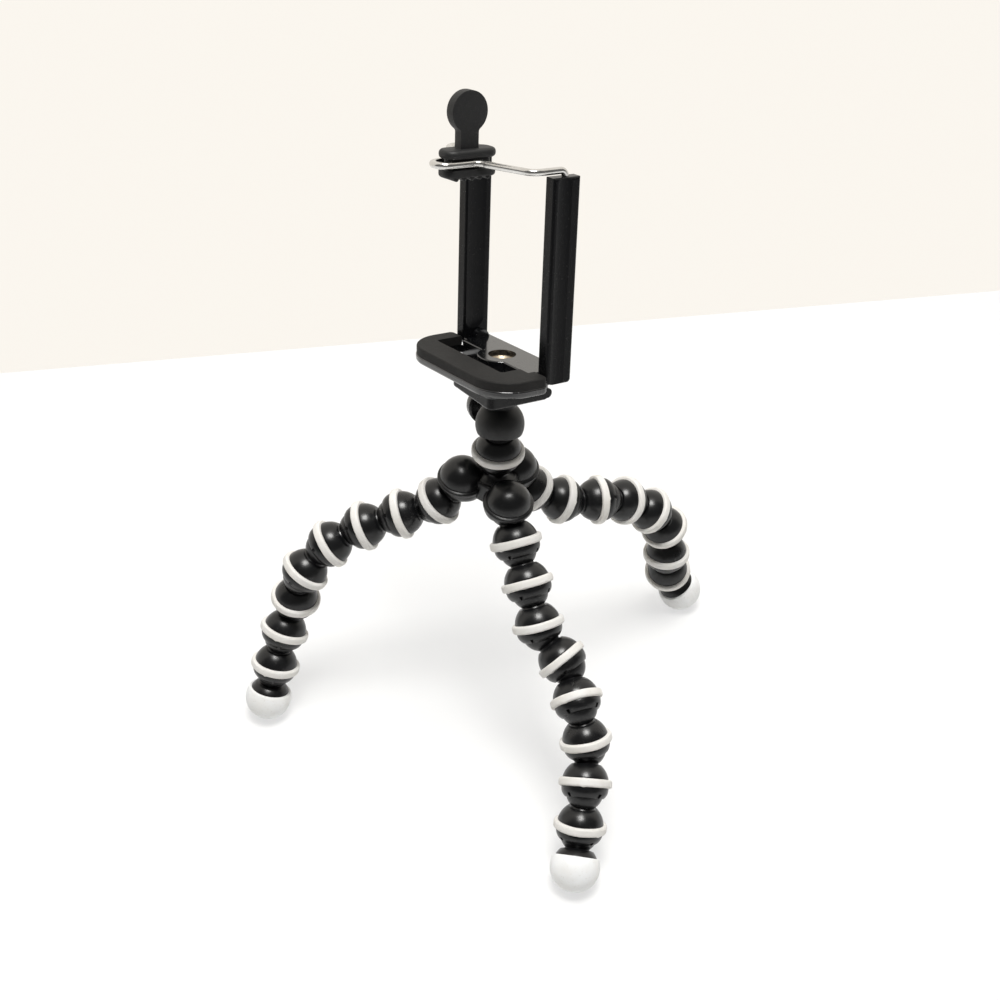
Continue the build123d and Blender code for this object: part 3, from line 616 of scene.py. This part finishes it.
# ball housing: the shell's sphere is centred on the head's joints, its seat carries the clip
headShape = {
    "shell": 7.25, "shellSteps": 24, "mouthDrop": 3.0, "mouthRadius": 5.75, "neck": 4.6, "fillet": 0.4,
    "seat": 6.2, "seatBottom": 9.65, "seatTop": 11.45, "socketSteps": 12, "steps": 80, "soft": 0.22,
    "boss": 3.2, "bossReach": 9.0, "bossSteps": 40, "bossSoft": 0.3, "screw": 1.95,
}


def housingMesh(look, link):
    socket = link["socket"]
    points = [(look["mouthRadius"], -look["mouthDrop"])]
    points += arcPoints(look["shell"], 0, -look["mouthDrop"], capHeight(look["shell"], look["neck"]),
                        look["shellSteps"])
    points += [(look["neck"], look["seatBottom"] - look["fillet"]),
               (look["neck"] + look["fillet"], look["seatBottom"]), (look["seat"], look["seatBottom"]),
               (look["seat"], look["seatTop"]), (0, look["seatTop"]), (0, socket)]
    points += arcPoints(socket, 0, socket, -link["mouth"], look["socketSteps"])[1:]
    return turnedMesh(points, look["steps"], look["soft"])


def bossMesh(look, link):
    points = [(radius, reach) for radius, reach in (
        (look["boss"], link["socket"]), (look["boss"], look["bossReach"]),
        (look["screw"], look["bossReach"]), (look["screw"], link["socket"]))]
    return turnedMesh(points, look["bossSteps"], look["bossSoft"])


lockAxis = Vector(joints["lock_knob_turn"]["axis"]).normalized()
lockPlace = placeAlong(jointPoint("lock_knob_turn"), -lockAxis)
boss = bossMesh(headShape, linkShape)
boss.transform((housingPlace.inverted() @ lockPlace).to_3x3().to_4x4())
housingPiece = finishedPiece("ballHousing", joined(housingMesh(headShape, linkShape), boss), housingPlace,
                             "headBlack", "head")
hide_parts("ball_housing")


# lock knob: heights along its screw, from the head's centre
knobShape = {"radius": 5.75, "start": 13.8, "end": 17.8, "round": 0.8, "roundSteps": 6, "dish": 4.3,
             "dishDepth": 0.35, "dishEdge": 0.4, "collar": 3.0, "collarStart": 10.6, "face": 1.5, "steps": 72,
             "soft": 0.1}


def knobMesh(look, screw):
    end = look["end"]
    middle = look["radius"] - look["round"]
    points = [(0, end - look["dishDepth"]), (look["dish"] - look["dishEdge"], end - look["dishDepth"]),
              (look["dish"], end)]
    points += circleArc(middle, end - look["round"], look["round"], 90, 0, look["roundSteps"])
    points += circleArc(middle, look["start"] + look["round"], look["round"], 0, -90, look["roundSteps"])
    points += [(look["collar"], look["start"]), (look["collar"], look["collarStart"]),
               (screw, look["collarStart"]), (screw, end - look["face"]), (0, end - look["face"])]
    return turnedMesh(points, look["steps"], look["soft"])


knob = finishedPiece("lockKnob", knobMesh(knobShape, headShape["screw"]), lockPlace, "knobBlack", "lock")
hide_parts("lock_knob")
print("head made")


# rubber grip: two flanges round a waist that holds the wire, ribs below and a finger tab above
gripShape = {
    "bail": 55.8, "half": 3.7, "front": 21.4, "rear": 5.3, "cornerGap": 0.7, "cornerSteps": 8,
    "flange": 2.5, "soft": 1.05, "lowerShare": 0.8, "softSteps": 4,
    "waistHalf": 2.2, "waistHeight": 2.4, "waistInset": 1.2, "waistCorner": 0.1, "waistSink": 0.4,
    "waistSoft": 0.1,
    "rib": 0.7, "ribs": 5, "ribRound": 0.35, "ribRoundSteps": 4, "ribSteps": 16, "ribShift": 0.3,
    "tabPlace": 13.6, "tabHalf": 1.5, "tabSoft": 0.75, "rise": 13.2, "disc": 5.5, "discSteps": 40,
    "stemHalf": 2.8, "stemFoot": 0.9, "stemSink": 0.6, "footSteps": 5, "blend": 1.1, "blendSteps": 6,
    "sharp": 50,
}


def stadium(half, front, rear, corner, steps):
    # a rounded outline, longer from front to rear
    x = half - corner
    return (circleArc(x, -rear - corner, corner, 0, 90, steps)
            + circleArc(-x, -rear - corner, corner, 90, 180, steps)
            + circleArc(-x, corner - front, corner, 180, 270, steps)
            + circleArc(x, corner - front, corner, 270, 360, steps))


def ribMesh(look):
    end = look["half"] - look["ribRound"]
    across = look["rib"] - look["ribRound"]
    along = look["half"] - 2 * look["ribRound"]
    points = [(0, -end)] + circleArc(across, -along, look["ribRound"], -90, 0, look["ribRoundSteps"])
    points += circleArc(across, along, look["ribRound"], 0, 90, look["ribRoundSteps"]) + [(0, end)]
    return turnedMesh(points, look["ribSteps"])


def tabMesh(look):
    # a disc on a stem: the outline's x runs from front to rear, its y up
    flangeTop = look["waistHeight"] / 2 + look["flange"]
    foot = look["stemFoot"]
    blendY = look["stemHalf"] + look["blend"]
    blendZ = -capHeight(look["disc"] + look["blend"], blendY)
    blendAngle = math.degrees(math.atan2(blendZ, blendY))
    side = circleArc(look["stemHalf"] + foot, foot - look["rise"] + flangeTop - look["stemSink"], foot,
                     270, 180, look["footSteps"])
    side += circleArc(blendY, blendZ, look["blend"], 180, 180 + blendAngle, look["blendSteps"])
    disc = circleArc(0, 0, look["disc"], blendAngle, 180 - blendAngle, look["discSteps"])
    outline = side + disc[1:-1] + [(-y, z) for y, z in reversed(side)]
    return platedMesh(outline, -look["tabHalf"], look["tabHalf"], look["tabSoft"], look["softSteps"])


def gripMesh(look):
    top = look["bail"] + look["waistHeight"] / 2
    bottom = look["bail"] - look["waistHeight"] / 2
    flange = stadium(look["half"], look["front"], look["rear"], look["half"] - look["cornerGap"],
                     look["cornerSteps"])
    upper = platedMesh(flange, top, top + look["flange"], look["soft"], look["softSteps"])
    lower = platedMesh(flange, bottom - look["flange"], bottom, look["soft"] * look["lowerShare"],
                       look["softSteps"])
    inner = stadium(look["waistHalf"], look["front"] - look["waistInset"], look["rear"] + look["waistInset"],
                    look["waistHalf"] - look["waistCorner"], look["cornerSteps"])
    waist = platedMesh(inner, bottom - look["waistSink"], top + look["waistSink"], look["waistSoft"], 1)
    ribs = []
    ribPitch = (look["front"] - look["rear"] - look["half"]) / look["ribs"]
    ribTurn = Matrix.Rotation(math.radians(90), 4, "Y")
    for n in range(look["ribs"]):
        ribY = -look["rear"] - look["half"] + look["ribShift"] - ribPitch * n
        rib = ribMesh(look)
        rib.transform(Matrix.Translation((0, ribY, bottom - look["flange"])) @ ribTurn)
        ribs.append(rib)
    tab = tabMesh(look)
    upright = Matrix(((0, 0, 1), (1, 0, 0), (0, 1, 0))).to_4x4()
    tab.transform(Matrix.Translation((0, -look["tabPlace"], look["bail"] + look["rise"])) @ upright)
    return joined(upper, lower, waist, tab, *ribs)


grip = finishedPiece("bailGrip", gripMesh(gripShape), clipPlace, "gripRubber", "bail",
                     gripShape["sharp"])
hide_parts("bail_grip")
print("grip made")


# brass insert, with a thread in its bore
insertShape = {"radius": 4.28, "bore": 2.75, "top": -1.6, "bottom": -8.0, "chamfer": 0.25, "flare": 0.7,
               "pitch": 1.27, "thread": 0.42, "steps": 64, "sharp": 30}


def insertMesh(look):
    points = [(look["radius"], look["bottom"]), (look["radius"], look["top"] - look["chamfer"]),
              (look["radius"] - look["chamfer"], look["top"]), (look["bore"] + look["flare"], look["top"])]
    height = look["top"] - look["flare"]
    while height > look["bottom"] + look["pitch"]:
        points += [(look["bore"], height), (look["bore"] + look["thread"], height - look["pitch"] / 2)]
        height -= look["pitch"]
    points.append((look["bore"], look["bottom"]))
    return turnedMesh(points, look["steps"])


insert = finishedPiece("threadInsert", insertMesh(insertShape), clipPlace, "turnedBrass", "clip",
                       insertShape["sharp"])
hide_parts("thread_insert")
print("insert made")


# finishes of the parts that stay as they are
nodeFinishes = {
    "lock_screw": "turnedSteel", "tripod_stud": "turnedSteel", "seat_washer": "padRubber",
    "clip_tray": "trayBlack", "tray_bottom_cover": "clipBlack", "tray_pad": "padRubber",
    "left_post": "postBlack", "right_post": "postBlack", "wire_bail": "brightWire",
    "hinge_pins": "blackSteel", "left_spring": "brightWire", "right_spring": "brightWire",
    "left_ferrule": "turnedSteel", "right_ferrule": "turnedSteel", "cover_screws": "turnedSteel",
}
for node, finish in nodeFinishes.items():
    mesh = frame["nodes"][node].data
    mesh.materials.clear()
    mesh.materials.append(finishes[finish])


# floor and backdrop: matt paint, with a share of even light that only the camera and reflections see
floorLook = {"paint": rgb(0.86, 0.86, 0.855), "other": rgb(0.83, 0.83, 0.82), "glow": rgb(1.0, 1.0, 1.0),
             "strength": 1.02, "share": 0.6}
wallLook = {"paint": rgb(0.8, 0.78, 0.74), "other": rgb(0.77, 0.75, 0.71), "glow": rgb(0.975, 0.935, 0.87),
            "strength": 1.0, "share": 0.97}
stageLook = {"size": 4, "roughness": 0.9, "level": 0.1, "tintNoise": (3, 2), "wallAway": 0.2153,
             "wallTurn": 8.5}


def stagePlane(name, place, look):
    shape = bmesh.new()
    bmesh.ops.create_grid(shape, x_segments=1, y_segments=1, size=stageLook["size"])
    shape.transform(place)
    mesh = bpy.data.meshes.new(name)
    shape.to_mesh(mesh)
    shape.free()
    plane = bpy.data.objects.new(name, mesh)
    scene.collection.objects.link(plane)
    material, shade, shader = newFinish(name + "Paint", {"Roughness": stageLook["roughness"],
                                                         "Specular IOR Level": stageLook["level"]})
    tint = noise(shade, objectPlace(shade), *stageLook["tintNoise"])
    feed(shade, shader, {"Base Color": tint.blend(look["paint"], look["other"])})
    seen = (shade.node("ShaderNodeLightPath", {}, {}, "Is Camera Ray")
            + shade.node("ShaderNodeLightPath", {}, {}, "Is Glossy Ray"))
    glow = shade.node("ShaderNodeEmission", {}, {"Color": look["glow"], "Strength": look["strength"]})
    paint = Shade(shade.tree, shader.outputs[0])
    mixed = shade.node("ShaderNodeMixShader", {}, {0: seen * look["share"], 1: paint, 2: glow})
    shade.tree.links.new(mixed.socket, shade.tree.nodes["Material Output"].inputs["Surface"])
    mesh.materials.append(material)


viewTurn = math.radians(54.6)
ahead = Vector((-math.sin(viewTurn), math.cos(viewTurn), 0))
stagePlane("studioFloor", Matrix.Identity(4), floorLook)
wallFoot = Matrix.Translation(Vector((hubCentre.x, hubCentre.y, 0)) + ahead * stageLook["wallAway"])
wallFacing = Matrix.Rotation(viewTurn + math.radians(stageLook["wallTurn"]), 4, "Z")
stagePlane("studioWall", wallFoot @ wallFacing @ Matrix.Rotation(math.radians(90), 4, "X"), wallLook)


# a dim room and one ceiling lamp, its place turned with the view
lightLook = {"room": (1.0, 0.985, 0.96, 1), "roomStrength": 0.14, "place": (0.03, -0.12, 1.25),
             "aim": (0, 0, 0.1), "size": 0.45, "power": 16, "colour": (1, 0.99, 0.97)}
world = bpy.data.worlds.new("studio")
scene.world = world
world.use_nodes = True
background = world.node_tree.nodes["Background"]
background.inputs["Color"].default_value = lightLook["room"]
background.inputs["Strength"].default_value = lightLook["roomStrength"]

light = bpy.data.lights.new("ceilingLight", "AREA")
light.size = lightLook["size"]
light.energy = lightLook["power"]
light.color = lightLook["colour"]
lamp = bpy.data.objects.new("ceilingLight", light)
lamp.location = Matrix.Rotation(viewTurn, 3, "Z") @ Vector(lightLook["place"])
lamp.rotation_euler = (Vector(lightLook["aim"]) - lamp.location).to_track_quat("-Z", "Y").to_euler()
scene.collection.objects.link(lamp)

cameraLook = {"lens": 51.74, "sensor": 36, "place": (0.253537, -0.197142, 0.363249), "pitch": 50}
cameraData = bpy.data.cameras.new("camera")
cameraData.lens = cameraLook["lens"]
cameraData.sensor_width = cameraLook["sensor"]
camera = bpy.data.objects.new("camera", cameraData)
camera.location = cameraLook["place"]
camera.rotation_euler = (math.radians(cameraLook["pitch"]), 0, viewTurn)
scene.collection.objects.link(camera)
scene.camera = camera
scene.view_settings.view_transform = "Standard"

print("scene made")
